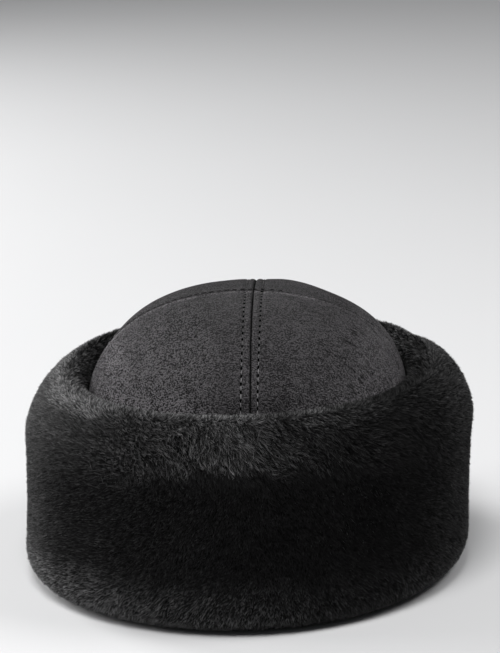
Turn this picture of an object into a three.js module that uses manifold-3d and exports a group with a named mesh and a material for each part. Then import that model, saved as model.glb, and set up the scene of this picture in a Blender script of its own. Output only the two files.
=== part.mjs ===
// A sheepskin hat of the cossack kind, standing on its cuff.
// Four suede panels are sewn into a domed crown, with one seam from front to back and one from side
// to side. A tall cuff of thick fur is turned up round the crown and wraps under its lower edge.
// Units are millimetres, +Z is up, and the wearer faces -Y, so the wearer's left is at +X.
import * as THREE from "three";
import { mergeVertices } from "three/addons/utils/BufferGeometryUtils.js";
import Module from "manifold-3d";

const wasm = await Module();
wasm.setup();
const { degToRad, euclideanModulo, lerp, smoothstep } = THREE.MathUtils;

// Crown: an upright oval wall under a dome. The two seams cross a little off the oval's middle.
const crown = {
  halfWidth: 91,
  halfLength: 103,
  lowerEdge: 8,
  wallTop: 100,
  domeHeight: 63.5,
  thickness: 3,
  seamX: 4.6,
  seamY: -10.5,
  leanDegrees: 2.45,
  topShift: -0.8,
  topForward: -13.6,
  forwardPower: 4,
  crossSeamSkew: -0.144,
};

// Seams: the panel edges roll in to a narrow joint, and a row of stitches draws the suede down.
const seam = {
  joint: 0.6,
  rollWidth: 2.8,
  rollDepth: 1.8,
  stitchDistance: 4.6,
  stitchWidth: 1.2,
  stitchDepth: 0.5,
  puff: 1.2,
  puffReach: 22,
};

// Cuff: a padded ring. Its offsets are measured outwards from the crown's outer wall.
const cuff = {
  thickness: 37.5,
  height: 117.5,
  gap: 0.35,
  bottomRound: 16.5,
  shoulderInset: 25.5,
  shoulderHeight: 32.5,
  shoulderPower: 1.66,
  waist: 0.8,
  lipRound: 2.5,
  rows: { bottom: 3, face: 9, shoulder: 6, roll: 4 },
};

// Fur: staggered rows of locks. Each lock lifts towards its tip and lies over the row below.
const fur = {
  locksRound: 32,
  stepsPerLock: 4,
  rowsPerLock: 4,
  lift: 3.4,
  level: 0.6,
  unevenness: 0.7,
  fadeHeight: 14,
};

// Soft rises, dips and bulges of the rim. Azimuth runs from +X over +Y, in degrees.
const rimFolds = [
  { azimuth: 5, spread: 26, rise: 3, bulge: 0.8 },
  { azimuth: 28, spread: 6, rise: -2, bulge: -1 },
  { azimuth: 150, spread: 34, rise: 2.6, bulge: 0.2 },
  { azimuth: 185, spread: 22, rise: -0.8, bulge: -1.2 },
  { azimuth: 290, spread: 26, rise: 0.6, bulge: 0 },
];

// Rows of the crown's two faces, as heights up the wall or angles up the dome, in degrees.
const outerRows = { wall: [0, 0.5], dome: [0, 9, 19, 29, 40, 51, 62, 72, 80, 86] };
const innerRows = { wall: [0], dome: [0, 15, 31, 47, 63, 78] };
// Columns of one quarter: distances from a seam, and how many steps lie between the outermost.
const quarter = { distances: [0, 1, 2.8, 4.6, 7], middleSteps: 6, widestShare: 0.1 };

const mergeWithin = 1e-4; // points closer than this are one point
const suede = { color: 0x4b494c, roughness: 0.95, metalness: 0 };
const blackFur = { color: 0x1c1c1d, roughness: 1, metalness: 0 };

// Every wall's plan is an oval of four quarter ellipses, which meet on the planes of the seams.
function ovalAxes(angle, offset) {
  const towardsX = Math.cos(angle) > 0 ? -1 : 1;
  const towardsY = Math.sin(angle) > 0 ? -1 : 1;
  return {
    across: crown.halfWidth + towardsX * crown.seamX + offset,
    along: crown.halfLength + towardsY * crown.seamY + offset,
  };
}

// A ring or shell turned from a profile, with each of its points then moved to its own place.
function turned(profile, columns, place) {
  const geometry = new THREE.LatheGeometry(profile, columns);
  const position = geometry.attributes.position;
  for (let column = 0; column <= columns; column += 1) {
    for (let row = 0; row < profile.length; row += 1) {
      const point = place(column % columns, row);
      position.setXYZ(column * profile.length + row, point.x, point.y, point.z);
    }
  }
  return geometry;
}

// A closed geometry as a solid: points that coincide become one, and empty triangles go.
function toSolid(geometry) {
  geometry.deleteAttribute("normal");
  geometry.deleteAttribute("uv");
  const merged = mergeVertices(geometry, mergeWithin);
  const corners = merged.index.array;
  const kept = [];
  for (let k = 0; k < corners.length; k += 3) {
    const [a, b, c] = corners.slice(k, k + 3);
    if (a !== b && b !== c && c !== a) {
      kept.push(a, b, c);
    }
  }
  const vertProperties = new Float32Array(merged.attributes.position.array);
  const mesh = new wasm.Mesh({ numProp: 3, vertProperties, triVerts: new Uint32Array(kept) });
  return new wasm.Manifold(mesh);
}

function toGeometry(solid) {
  const mesh = solid.getMesh();
  const geometry = new THREE.BufferGeometry();
  geometry.setAttribute("position", new THREE.BufferAttribute(mesh.vertProperties, 3));
  geometry.setIndex(new THREE.BufferAttribute(mesh.triVerts, 1));
  geometry.computeVertexNormals();
  return geometry;
}

// The soft hat leans a little towards +X, the more the higher up.
function lean(geometry) {
  const shear = new THREE.Matrix4().makeShear(0, 0, 0, 0, Math.tan(degToRad(crown.leanDegrees)), 0);
  return geometry.applyMatrix4(shear);
}

// The dome has slumped: its top lies forward and a little to -X, and the cross seam runs askew.
// How far forward depends on the direction from the dome's middle, so the wall keeps its thickness.
function slump(geometry) {
  const position = geometry.attributes.position;
  const domeTop = crown.wallTop + crown.domeHeight;
  for (let k = 0; k < position.count; k += 1) {
    const point = new THREE.Vector3().fromBufferAttribute(position, k);
    const share = smoothstep(point.z, crown.wallTop, domeTop);
    const x = point.x - crown.seamX;
    const y = point.y - crown.seamY;
    const { across, along } = ovalAxes(Math.atan2(y, x), 0);
    const height = Math.max(0, point.z - crown.wallTop) / crown.domeHeight;
    const rise = new THREE.Vector3(x / across, y / along, height).normalize().z;
    point.x += crown.topShift * share;
    point.y += crown.crossSeamSkew * x * share + crown.topForward * rise ** crown.forwardPower;
    position.setXYZ(k, point.x, point.y, point.z);
  }
  return geometry;
}

// How far the suede stands off the plain dome at one distance from the nearest seam.
function seamRelief(distance, domeShare) {
  const rolled = Math.max(0, 1 - distance / seam.rollWidth);
  const stitched = Math.exp(-(((distance - seam.stitchDistance) / seam.stitchWidth) ** 2));
  const beyond = Math.max(0, distance - seam.stitchDistance) / seam.puffReach;
  const puffed = seam.puff * domeShare * (1 - Math.exp(-beyond * beyond));
  return puffed - seam.rollDepth * rolled * rolled - seam.stitchDepth * stitched;
}

// The angle of one column on one level of the dome: crowded by the seams, even between them.
function columnAngle(column, flat) {
  const { distances, middleSteps, widestShare } = quarter;
  const perQuarter = 2 * (distances.length - 1) + middleSteps;
  const start = Math.floor(column / perQuarter);
  const k = column % perQuarter;
  const { across, along } = ovalAxes(((start + 0.5) * Math.PI) / 2, 0);
  const reach = start % 2 ? [across, along] : [along, across];
  const fromSeam = (index, side) => {
    const share = distances[index] / (reach[side] * flat);
    return Math.asin(Math.min(share, widestShare * index));
  };
  const outermost = distances.length - 1;
  const first = fromSeam(outermost, 0);
  const last = Math.PI / 2 - fromSeam(outermost, 1);
  let angle = first + ((last - first) * (k - outermost)) / middleSteps;
  if (k < outermost) {
    angle = fromSeam(k, 0);
  } else if (k > outermost + middleSteps) {
    angle = Math.PI / 2 - fromSeam(perQuarter - k, 1);
  }
  return (start * Math.PI) / 2 + angle;
}

// The levels of one face of the crown, from its lower edge to its top.
function crownLevels(rows, depth) {
  const rise = crown.wallTop - crown.lowerEdge;
  const wall = rows.wall.map((share) => ({ base: crown.lowerEdge + rise * share, tilt: 0 }));
  const dome = [...rows.dome, 90].map((tilt) => ({ base: crown.wallTop, tilt: degToRad(tilt) }));
  return [...wall, ...dome].map((level) => ({ ...level, depth }));
}

// The whole crown as one shell, before it is cut into panels.
function crownShell() {
  const inner = crownLevels(innerRows, crown.thickness).reverse();
  const outer = crownLevels(outerRows, 0);
  const levels = [...inner, ...outer];
  const profile = levels.map(({ base, tilt, depth }) => {
    const flat = tilt < Math.PI / 2 ? Math.cos(tilt) : 0;
    const radius = (crown.halfLength - depth) * flat;
    return new THREE.Vector2(radius, base + (crown.domeHeight - depth) * Math.sin(tilt));
  });
  const columns = 4 * (2 * (quarter.distances.length - 1) + quarter.middleSteps);
  return turned(profile, columns, (column, row) => {
    const { base, tilt, depth } = levels[row];
    const flat = profile[row].x === 0 ? 0 : Math.cos(tilt);
    const rise = Math.sin(tilt);
    const angle = flat > 0 ? columnAngle(column, flat) : 0;
    const { across, along } = ovalAxes(angle, 0);
    const point = new THREE.Vector3(across * Math.cos(angle) * flat, along * Math.sin(angle) * flat, 0);
    const distance = Math.min(Math.abs(point.x), Math.abs(point.y));
    const normal = new THREE.Vector3(point.x / across ** 2, point.y / along ** 2, rise / crown.domeHeight);
    const offset = depth > 0 ? -depth : seamRelief(distance, rise);
    point.addScaledVector(normal.normalize(), offset);
    point.x += crown.seamX;
    point.y += crown.seamY;
    point.z += base + crown.domeHeight * rise;
    return point;
  });
}

// One panel is what the shell has in one quarter, up to half the joint from each seam.
function crownPanel(shell, sideX, sideY) {
  const size = 2 * crown.halfLength;
  const box = new THREE.BoxGeometry(size, size, size);
  const reach = (size + seam.joint) / 2;
  box.translate(crown.seamX + sideX * reach, crown.seamY + sideY * reach, size / 2);
  return lean(slump(toGeometry(shell.intersect(toSolid(box)))));
}

// A number from 0 to 1 that depends only on the two whole numbers given.
function scatter(a, b) {
  const value = Math.sin(a * 12.9898 + b * 78.233) * 43758.5453;
  return value - Math.floor(value);
}

// How far the fur stands off the plain ring: row 0 is by the crown, and rows run over the crest.
function lockRelief(step, row) {
  const band = Math.floor(row / fur.rowsPerLock);
  const stagger = band % 2 ? fur.stepsPerLock / 2 : 0;
  const along = (step + stagger) % (fur.locksRound * fur.stepsPerLock);
  const lock = Math.floor(along / fur.stepsPerLock);
  const across = ((along % fur.stepsPerLock) + 0.5) / fur.stepsPerLock;
  const towardsTip = ((row % fur.rowsPerLock) + 1) / fur.rowsPerLock;
  const own = 1 + fur.unevenness * (scatter(lock, band) - 0.5);
  return fur.lift * (own * Math.sin(Math.PI * across) * towardsTip - fur.level);
}

// The soft rise and bulge of the rim at one azimuth: the sum of the table's folds.
function rimShape(azimuth) {
  const sum = { rise: 0, bulge: 0 };
  for (const { azimuth: centre, spread, rise, bulge } of rimFolds) {
    const away = euclideanModulo(azimuth - centre + 180, 360) - 180;
    const share = Math.exp(-((away / spread) ** 2));
    sum.rise += rise * share;
    sum.bulge += bulge * share;
  }
  return sum;
}

// A quarter of a superellipse, from its outermost point to its top, as shares of its half-axes.
function quarterRound(steps, power) {
  const shares = [];
  for (let k = 0; k <= steps; k += 1) {
    const angle = (Math.PI * k) / (2 * steps);
    const reach = (Math.cos(angle) ** power + Math.sin(angle) ** power) ** (-1 / power);
    shares.push({ out: Math.cos(angle) * reach, up: Math.sin(angle) * reach });
  }
  return shares;
}

// The fur's smooth form in one section of the cuff, from the foot up the outer face, over the
// crest and down to the crown. In a section, x is the offset from the crown's wall.
function smoothFur({ rise, bulge }) {
  const { thickness, bottomRound, shoulderInset, shoulderHeight, gap, rows } = cuff;
  const top = cuff.height + rise;
  const shoulder = top - shoulderHeight;
  const crest = thickness - shoulderInset;
  const rollRadius = crest - gap;
  const points = [];
  for (const { out, up } of quarterRound(rows.bottom, 2).slice(1)) {
    const x = thickness - bottomRound * (1 - up);
    points.push(new THREE.Vector2(x, bottomRound * (1 - out)));
  }
  for (let k = 1; k < rows.face; k += 1) {
    const share = k / rows.face;
    const x = thickness - cuff.waist * Math.sin(Math.PI * share) + bulge * share;
    points.push(new THREE.Vector2(x, lerp(bottomRound, shoulder, share)));
  }
  for (const { out, up } of quarterRound(rows.shoulder, cuff.shoulderPower)) {
    const x = crest + (shoulderInset + bulge) * out;
    points.push(new THREE.Vector2(x, shoulder + shoulderHeight * up));
  }
  for (const { out, up } of quarterRound(rows.roll, 2).reverse().slice(1)) {
    points.push(new THREE.Vector2(crest - rollRadius * out, top - rollRadius * (1 - up)));
  }
  return points;
}

// One closed section of the cuff: the lip under the crown's edge, the flat foot and the fur.
function cuffSection(step) {
  const { thickness, bottomRound, shoulderInset, lipRound, gap } = cuff;
  const lip = crown.lowerEdge - gap;
  const foot = [
    [gap, lip],
    [-crown.thickness, lip],
    [-crown.thickness, lipRound],
    [lipRound - crown.thickness, 0],
    [thickness - bottomRound, 0],
  ].map(([x, y]) => new THREE.Vector2(x, y));
  const smooth = smoothFur(rimShape((360 * step) / (fur.locksRound * fur.stepsPerLock)));
  const seat = smooth.at(-1); // the fur meets the crown here, with no relief
  const locks = smooth.slice(0, -1).map((point, index) => {
    const before = index > 0 ? smooth[index - 1] : foot.at(-1);
    const along = smooth[index + 1].clone().sub(before);
    const away = new THREE.Vector2(along.y, -along.x).normalize();
    const nearCrown = Math.min(1, (point.x - gap) / (thickness - shoulderInset));
    const nearFoot = Math.min(1, point.y / fur.fadeHeight);
    const relief = lockRelief(step, smooth.length - 2 - index);
    return point.clone().addScaledVector(away, relief * nearCrown * nearFoot);
  });
  return [...foot, ...locks, seat];
}

function furCuff() {
  const steps = fur.locksRound * fur.stepsPerLock;
  const sections = [];
  for (let step = 0; step < steps; step += 1) {
    sections.push(cuffSection(step));
  }
  const profile = sections[0].map(({ x, y }) => new THREE.Vector2(crown.halfLength + x, y));
  profile.push(profile[0]);
  const ring = turned(profile, steps, (step, row) => {
    const angle = (2 * Math.PI * step) / steps;
    const { x: offset, y: height } = sections[step][row % sections[step].length];
    const { across, along } = ovalAxes(angle, offset);
    const x = crown.seamX + across * Math.cos(angle);
    return new THREE.Vector3(x, crown.seamY + along * Math.sin(angle), height);
  });
  return lean(toGeometry(toSolid(ring)));
}

function namedMesh(name, geometry, finish) {
  const mesh = new THREE.Mesh(geometry, new THREE.MeshStandardMaterial(finish));
  mesh.name = name;
  return mesh;
}

const hat = new THREE.Group();
const shell = toSolid(crownShell());
const panels = [
  { name: "crown_panel_front_left", sideX: 1, sideY: -1 },
  { name: "crown_panel_front_right", sideX: -1, sideY: -1 },
  { name: "crown_panel_back_left", sideX: 1, sideY: 1 },
  { name: "crown_panel_back_right", sideX: -1, sideY: 1 },
];
for (const { name, sideX, sideY } of panels) {
  hat.add(namedMesh(name, crownPanel(shell, sideX, sideY), suede));
}
hat.add(namedMesh("fur_cuff", furCuff(), blackFur));

// The origin is on the surface that the hat stands on, under the middle of its outline.
const outline = new THREE.Box3().setFromObject(hat);
const middle = outline.getCenter(new THREE.Vector3());
hat.position.set(-middle.x, -middle.y, -outline.min.z);

export default hat;
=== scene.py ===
import bpy
import bmesh
import numpy as np
from math import cos, pi, radians, sin, tan
from mathutils import Matrix, Vector


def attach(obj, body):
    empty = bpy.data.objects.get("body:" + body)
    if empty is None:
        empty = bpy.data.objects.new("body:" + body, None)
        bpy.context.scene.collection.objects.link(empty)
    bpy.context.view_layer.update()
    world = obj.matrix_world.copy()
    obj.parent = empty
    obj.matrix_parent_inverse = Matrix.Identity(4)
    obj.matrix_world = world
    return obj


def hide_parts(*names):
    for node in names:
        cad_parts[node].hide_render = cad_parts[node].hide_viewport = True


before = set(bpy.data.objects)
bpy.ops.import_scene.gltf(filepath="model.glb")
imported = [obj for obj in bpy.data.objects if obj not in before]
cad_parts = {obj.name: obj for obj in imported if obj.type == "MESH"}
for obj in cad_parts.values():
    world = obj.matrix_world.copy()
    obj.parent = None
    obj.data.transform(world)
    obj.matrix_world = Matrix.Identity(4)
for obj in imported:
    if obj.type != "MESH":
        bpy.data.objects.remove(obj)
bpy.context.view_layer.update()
mm = 0.001


def addItem(name, data):
    item = bpy.data.objects.new(name, data)
    bpy.context.scene.collection.objects.link(item)
    return item


# The camera comes first: in front of the hat, a little above it, and tilted as it was held.
camera = {
    "azimuth": 2.72, "elevation": 16.9, "roll": 2.5, "distance": 1.44,
    "target": (-0.00242, -0.00027, 0.075), "lens": 136.9, "sensor": 36, "shiftX": 0.0118,
    "shiftY": 0.1577, "farthest": 60,
}


def placeCamera():
    azimuth, elevation, roll = (radians(camera[key]) for key in ("azimuth", "elevation", "roll"))
    back = Vector((sin(azimuth) * cos(elevation), -cos(azimuth) * cos(elevation), sin(elevation)))
    level = Vector((cos(azimuth), sin(azimuth), 0))
    upright = back.cross(level)
    right = level * cos(roll) - upright * sin(roll)
    up = level * sin(roll) + upright * cos(roll)
    place = Vector(camera["target"]) + back * camera["distance"]
    data = bpy.data.cameras.new("hatCamera")
    data.lens = camera["lens"]
    data.sensor_width = camera["sensor"]
    data.shift_x = camera["shiftX"]
    data.shift_y = camera["shiftY"]
    data.clip_end = camera["farthest"]
    item = addItem("hatCamera", data)
    item.matrix_world = Matrix.Translation(place) @ Matrix((right, up, back)).transposed().to_4x4()
    bpy.context.scene.camera = item


placeCamera()

# A pale floor, and soft lamps: the strongest behind on the left, and one high up in front.
studio = {
    "floorSize": 24, "floorTone": (0.62, 0.62, 0.625, 1), "floorRoughness": 0.85, "cloudScale": 3.0,
    "cloudLift": 1.02, "worldTone": (0.95, 0.97, 1.0, 1), "worldStrength": 0.11, "aim": (0, 0, 0.07),
    "lamps": [
        {"name": "backLeftLamp", "at": (-1.8, 1.5, 0.9), "size": 1.1, "power": 52},
        {"name": "leftLamp", "at": (-2.1, 0.25, 0.8), "size": 1.1, "power": 20},
        {"name": "highLamp", "at": (-0.2, -1.0, 2.3), "size": 1.1, "power": 46},
        {"name": "rightLamp", "at": (1.4, -0.2, 1.9), "size": 1.1, "power": 21},
    ],
}


def buildStudio():
    scene = bpy.context.scene
    scene.view_settings.view_transform = "Standard"
    world = bpy.data.worlds.new("studioWorld")
    world.use_nodes = True
    sky = world.node_tree.nodes["Background"]
    sky.inputs["Color"].default_value = studio["worldTone"]
    sky.inputs["Strength"].default_value = studio["worldStrength"]
    scene.world = world
    for lamp in studio["lamps"]:
        data = bpy.data.lights.new(lamp["name"], "AREA")
        data.shape = "DISK"
        data.size = lamp["size"]
        data.energy = lamp["power"]
        item = addItem(lamp["name"], data)
        item.location = lamp["at"]
        away = Vector(lamp["at"]) - Vector(studio["aim"])
        item.rotation_euler = away.to_track_quat("Z", "Y").to_euler()
    sheet = bmesh.new()
    bmesh.ops.create_grid(sheet, x_segments=4, y_segments=4, size=studio["floorSize"] / 2)
    floor = meshObject("studioFloor", sheet)
    floor.data.materials.append(floorFinish())


def meshObject(name, shape):
    data = bpy.data.meshes.new(name)
    shape.to_mesh(data)
    shape.free()
    return addItem(name, data)


def smoothFaces(item):
    item.data.polygons.foreach_set("use_smooth", [True] * len(item.data.polygons))


# Material helpers: a new material with its shader, and nodes joined by name.
def newFinish(name):
    finish = bpy.data.materials.new(name)
    finish.use_nodes = True
    tree = finish.node_tree
    return finish, tree, tree.nodes["Principled BSDF"]


# An input takes another node's output or a plain value.
def feed(tree, socket, value):
    if isinstance(value, bpy.types.NodeSocket):
        tree.links.new(value, socket)
    else:
        socket.default_value = value


def addNode(tree, kind, settings=None, **inputs):
    node = tree.nodes.new(kind)
    for key, value in (settings or {}).items():
        setattr(node, key, value)
    for key, value in inputs.items():
        feed(tree, node.inputs[key.replace("_", " ")], value)
    return node


def objectPlace(tree):
    return tree.nodes.new("ShaderNodeTexCoord").outputs["Object"]


def noiseNode(tree, coordinates, scale, detail=2.0, roughness=0.5, distortion=0.0):
    return addNode(
        tree, "ShaderNodeTexNoise", Vector=coordinates, Scale=scale, Detail=detail, Roughness=roughness,
        Distortion=distortion,
    ).outputs["Fac"]


def rampNode(tree, value, stops):
    node = addNode(tree, "ShaderNodeValToRGB", Fac=value)
    ramp = node.color_ramp
    while len(ramp.elements) < len(stops):
        ramp.elements.new(0.5)
    for element, (place, tone) in zip(ramp.elements, stops):
        element.position = place
        element.color = (*tone, 1)
    return node.outputs["Color"]


def mapRange(tree, value, low, high, fromLow=0.0, fromHigh=1.0):
    node = addNode(tree, "ShaderNodeMapRange", Value=value)
    node.inputs["From Min"].default_value = fromLow
    node.inputs["From Max"].default_value = fromHigh
    node.inputs["To Min"].default_value = low
    node.inputs["To Max"].default_value = high
    return node.outputs["Result"]


def mixTones(tree, share, first, second, how="MIX"):
    node = addNode(tree, "ShaderNodeMix", {"data_type": "RGBA", "blend_type": how})
    for key, value in (("Factor", share), ("A", first), ("B", second)):
        feed(tree, next(one for one in node.inputs if one.name == key and one.enabled), value)
    return next(one for one in node.outputs if one.enabled)


def mathNode(tree, how, *values):
    node = addNode(tree, "ShaderNodeMath", {"operation": how})
    for socket, value in zip(node.inputs, values):
        feed(tree, socket, value)
    return node.outputs[0]


# Two patterns added up, of which the second has the share.
def weighted(tree, first, second, share):
    return mathNode(tree, "MULTIPLY_ADD", first, 1 - share, mathNode(tree, "MULTIPLY", second, share))


def setGloss(shader, look):
    shader.inputs["Specular IOR Level"].default_value = look["gloss"]
    shader.inputs["Sheen Weight"].default_value = look["sheen"]
    shader.inputs["Sheen Roughness"].default_value = look["sheenRoughness"]


# Brushed nap, for the suede, the clipped wool inside and the hide: a mottled tone and a normal.
# Clumps are bigger than fibres and patches are bigger still, and each has its share of the tone.
napMix = {"clumpScale": 0.33, "clumpShare": 0.07, "patchShare": 0.12}


def brushedNap():
    group = bpy.data.node_groups.new("brushedNap", "ShaderNodeTree")
    face = group.interface
    for name in ("Fibre Scale", "Patch Scale", "Bump Strength", "Bump Distance"):
        face.new_socket(name, in_out="INPUT", socket_type="NodeSocketFloat")
    face.new_socket("Tone", in_out="OUTPUT", socket_type="NodeSocketFloat")
    face.new_socket("Normal", in_out="OUTPUT", socket_type="NodeSocketVector")
    source = group.nodes.new("NodeGroupInput")
    result = group.nodes.new("NodeGroupOutput")
    place = objectPlace(group)
    fibre = noiseNode(group, place, source.outputs["Fibre Scale"], 2, 0.5, 0.3)
    patch = noiseNode(group, place, source.outputs["Patch Scale"], 3, 0.6, 0.6)
    clumpScale = mathNode(group, "MULTIPLY", source.outputs["Fibre Scale"], napMix["clumpScale"])
    clump = noiseNode(group, place, clumpScale, 2, 0.6, 0.8)
    fine = weighted(group, fibre, clump, napMix["clumpShare"])
    bump = addNode(
        group, "ShaderNodeBump", Strength=source.outputs["Bump Strength"],
        Distance=source.outputs["Bump Distance"], Height=fine,
    )
    tone = weighted(group, fine, patch, napMix["patchShare"])
    group.links.new(tone, result.inputs["Tone"])
    group.links.new(bump.outputs["Normal"], result.inputs["Normal"])
    return group


# The nap in one material, with that material's own values.
def napNodes(tree, nap, values):
    node = tree.nodes.new("ShaderNodeGroup")
    node.node_tree = nap
    for name, value in values.items():
        node.inputs[name].default_value = value
    return node.outputs["Tone"], node.outputs["Normal"]


# A napped surface of two tones, for what shows little.
def mottledFinish(name, nap, look):
    finish, tree, shader = newFinish(name)
    tone, normal = napNodes(tree, nap, look["nap"])
    share = mapRange(tree, tone, 0, 1, *look["window"])
    tree.links.new(mixTones(tree, share, look["dark"], look["light"]), shader.inputs["Base Color"])
    tree.links.new(normal, shader.inputs["Normal"])
    shader.inputs["Roughness"].default_value = look["roughness"]
    shader.inputs["Specular IOR Level"].default_value = look["gloss"]
    return finish


def floorFinish():
    finish, tree, shader = newFinish("paleFloor")
    cloud = noiseNode(tree, objectPlace(tree), studio["cloudScale"])
    tone = studio["floorTone"]
    light = tuple(min(1, part * studio["cloudLift"]) for part in tone[:3]) + (1,)
    tree.links.new(mixTones(tree, cloud, tone, light), shader.inputs["Base Color"])
    shader.inputs["Roughness"].default_value = studio["floorRoughness"]
    return finish


buildStudio()
print("stage: camera and studio")

# Crown: the same oval wall and dome as its solids, in millimetres.
crown = {
    "halfWidth": 91, "halfLength": 103, "lowerEdge": 8, "wallTop": 100, "domeHeight": 63.5, "thickness": 3,
    "seamX": 4.6, "seamY": -10.5, "leanDegrees": 2.45, "topShift": -0.8, "topForward": -13.6,
    "forwardPower": 4, "crossSeamSkew": -0.144, "centreX": -2.4187, "centreY": -0.2687,
    "rollWidth": 2.1, "rollDepth": 1.7, "crossFade": (30, 52), "crossLost": 0.5,
    "channelWidth": 1.0, "channelDepth": 0.6, "crossChannel": 0.2,
    "ridgeAt": 1.3, "ridgeWidth": 1.5, "ridgeHeight": 0.4, "ridgeFade": (28, 50), "ridgeLost": 0.7,
    "puff": 1.2, "puffFrom": 4.6, "puffReach": 22,
    "sag": 0.55, "sagFade": (3, 20), "sagStart": 1.3, "sagRates": (0.061, 0.052, 0.035),
    "waver": 0.6, "waverRates": (0.11, -0.09, 0.07),
    "columns": 84, "crowded": 13, "crowdedReach": 8.0, "crowdedPower": 1.15, "crowdedLimit": 0.4,
    "wallRows": 7, "wallCrowding": 0.6, "domeRows": 76, "mergeWithin": 0.02,
}
# Distances of the stitch rows from their seams: beside the centre seam they change towards the top.
# Then how far the rows run, and the sizes of the stitches and of the holes between them.
stitchRows = {
    "right": {"low": 5.2, "high": 4.4}, "left": {"low": 3.9, "high": 4.9}, "changeFrom": 112, "cross": 3.6,
    "reach": 0.985, "front": -92, "back": 113, "steps": 700, "crossFrom": -95, "crossTo": 16,
    "crossSteps": 500, "seed": 11, "unevenness": (0.85, 1.15), "pitch": 4.6, "length": 2.9, "width": 0.36,
    "rise": 0.12, "holeRadius": 0.82, "crossHole": 1.5, "holeLength": 1.35, "holeDepth": 0.12,
    "holeSink": 0.03,
}


def smoothShare(value, low, high):
    share = np.clip((value - low) / (high - low), 0, 1)
    return share * share * (3 - 2 * share)


def bell(value, middle, width):
    return np.exp(-(((value - middle) / width) ** 2))


def ovalAxes(angle, offset=0):
    across = crown["halfWidth"] - np.where(np.cos(angle) > 0, 1, -1) * crown["seamX"] + offset
    along = crown["halfLength"] - np.where(np.sin(angle) > 0, 1, -1) * crown["seamY"] + offset
    return across, along


# From millimetres round the crossing of the seams to metres in the part's own frame, with the lean.
def toFrame(x, y, z):
    leaning = x + crown["seamX"] + tan(radians(crown["leanDegrees"])) * z + crown["centreX"]
    return np.stack([leaning, y + crown["seamY"] + crown["centreY"], z], axis=-1) * mm


def stitchDistance(side, height):
    row = stitchRows[side]
    share = smoothShare(height, stitchRows["changeFrom"], crown["wallTop"] + crown["domeHeight"])
    return row["low"] + (row["high"] - row["low"]) * share


# How far the suede stands off the plain dome: rolled edges, a channel under each row of stitches,
# a raised front edge along the cross seam, and panels that puff out and sag a little between seams.
def crownRelief(x, y, height, rise):
    centre, cross = np.abs(x), np.abs(y)
    crossShare = 1 - crown["crossLost"] * smoothShare(x, *crown["crossFade"])
    relief = 0
    for distance, share in ((centre, 1), (cross, crossShare)):
        rolled = np.clip(1 - distance / crown["rollWidth"], 0, 1)
        relief = relief - crown["rollDepth"] * share * (1 - np.sqrt(1 - rolled * rolled))
    row = np.where(x > 0, stitchDistance("left", height), stitchDistance("right", height))
    relief = relief - crown["channelDepth"] * bell(centre, row, crown["channelWidth"])
    channel = crown["crossChannel"] * bell(cross, stitchRows["cross"], crown["channelWidth"])
    ridge = crown["ridgeHeight"] * bell(cross, crown["ridgeAt"], crown["ridgeWidth"])
    ridgeShare = 1 - crown["ridgeLost"] * smoothShare(x, *crown["ridgeFade"])
    relief = relief + np.where(y > 0, -channel, ridge) * rise * ridgeShare
    beyond = np.clip(np.minimum(centre, cross) - crown["puffFrom"], 0, None) / crown["puffReach"]
    relief = relief + crown["puff"] * rise * (1 - np.exp(-beyond * beyond))
    rateX, rateY, rateZ = crown["sagRates"]
    sag = np.sin(x * rateX + crown["sagStart"]) * np.sin(y * rateY + height * rateZ)
    rateX, rateY, rateZ = crown["waverRates"]
    sag = sag + crown["waver"] * np.sin(x * rateX + y * rateY + height * rateZ)
    return relief + crown["sag"] * sag * smoothShare(np.minimum(centre, cross), *crown["sagFade"])


# Points of the crown's outer face. The dome slumps forward, and the cross seam runs askew. For a
# panel, side gives the signs of x and y in its quarter.
def crownPoints(angle, base, tilt, lift=0.0, side=None):
    across, along = ovalAxes(angle)
    flat, rise = np.cos(tilt), np.sin(tilt)
    x, y = across * np.cos(angle) * flat, along * np.sin(angle) * flat
    if side:  # a panel's edge doesn't pass the plane of the seam
        x, y = side[0] * np.maximum(side[0] * x, 0), side[1] * np.maximum(side[1] * y, 0)
    x, y, z, rise = np.broadcast_arrays(x, y, base + crown["domeHeight"] * rise, rise)
    normal = np.stack([x / across**2, y / along**2, rise / crown["domeHeight"]], axis=-1)
    normal /= np.linalg.norm(normal, axis=-1, keepdims=True)
    offset = crownRelief(x, y, z, rise) + lift
    px, py, pz = x + normal[..., 0] * offset, y + normal[..., 1] * offset, z + normal[..., 2] * offset
    share = smoothShare(pz, crown["wallTop"], crown["wallTop"] + crown["domeHeight"])
    forward = crown["topForward"] * rise ** crown["forwardPower"]
    return toFrame(px + crown["topShift"] * share, py + crown["crossSeamSkew"] * px * share + forward, pz)


# The same, for places given by their distances from the two seams.
def crownPointsAt(x, y, lift=0.0):
    angle = np.arctan2(y, x)
    for _ in range(3):  # the angle settles in a few steps
        across, along = ovalAxes(angle)
        angle = np.arctan2(y / along, x / across)
    across, along = ovalAxes(angle)
    out = np.clip(np.hypot(x / across, y / along), 0, 1)
    return crownPoints(angle, crown["wallTop"], np.arccos(out), lift)


# The angles of one row's columns in a quarter: crowded by the seams, even between them.
def columnAngles(flat, reach):
    last, crowded = crown["columns"], crown["crowded"]
    index = np.arange(last + 1)

    def fromSeam(k, length):
        distance = crown["crowdedReach"] * (k / crowded) ** crown["crowdedPower"]
        return np.arcsin(np.minimum(distance / (length * flat), crown["crowdedLimit"] * k / crowded))

    first = fromSeam(crowded, reach[0])
    second = pi / 2 - fromSeam(crowded, reach[1])
    angles = first + (second - first) * (index - crowded) / (last - 2 * crowded)
    angles = np.where(index < crowded, fromSeam(np.minimum(index, crowded), reach[0]), angles)
    fromEnd = np.minimum(last - index, crowded)
    return np.where(index > last - crowded, pi / 2 - fromSeam(fromEnd, reach[1]), angles)


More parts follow.
